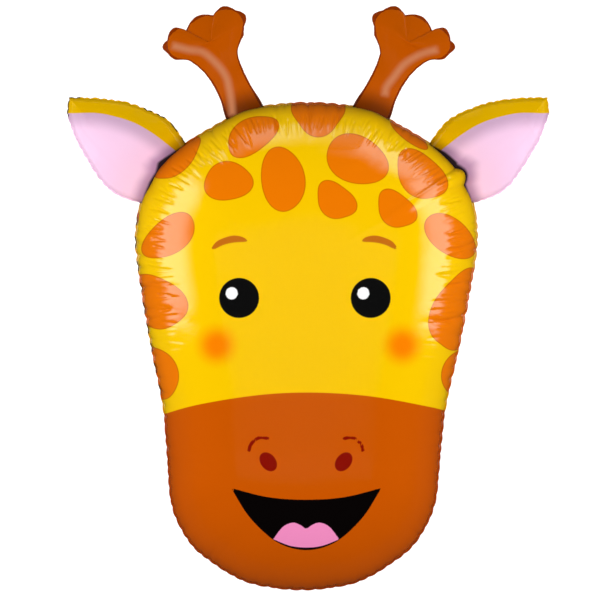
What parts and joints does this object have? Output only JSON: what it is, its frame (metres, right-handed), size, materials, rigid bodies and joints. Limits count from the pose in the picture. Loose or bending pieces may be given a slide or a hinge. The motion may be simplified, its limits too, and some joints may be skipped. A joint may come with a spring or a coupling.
{
  "type": "giraffe head foil balloon",
  "caption": "Inflated shaped foil balloon of a giraffe's head with ears and horns, lying on its back with the face up.",
  "frame": {"origin": "under the middle of the balloon, on the surface that its back rests on", "axes": "+X towards the ear at the viewer's right of the face, +Y from the chin to the horns, +Z out of the face"},
  "size_m": [0.6634, 0.8032, 0.2517],
  "materials": {
    "printed_foil": "glossy printed metallised film, yellow coat with orange patches, brown muzzle and horns, pink inner ears"
  },
  "bodies": {
    "root": {"foil_balloon_envelope": "printed_foil"}
  },
  "joints": []
}
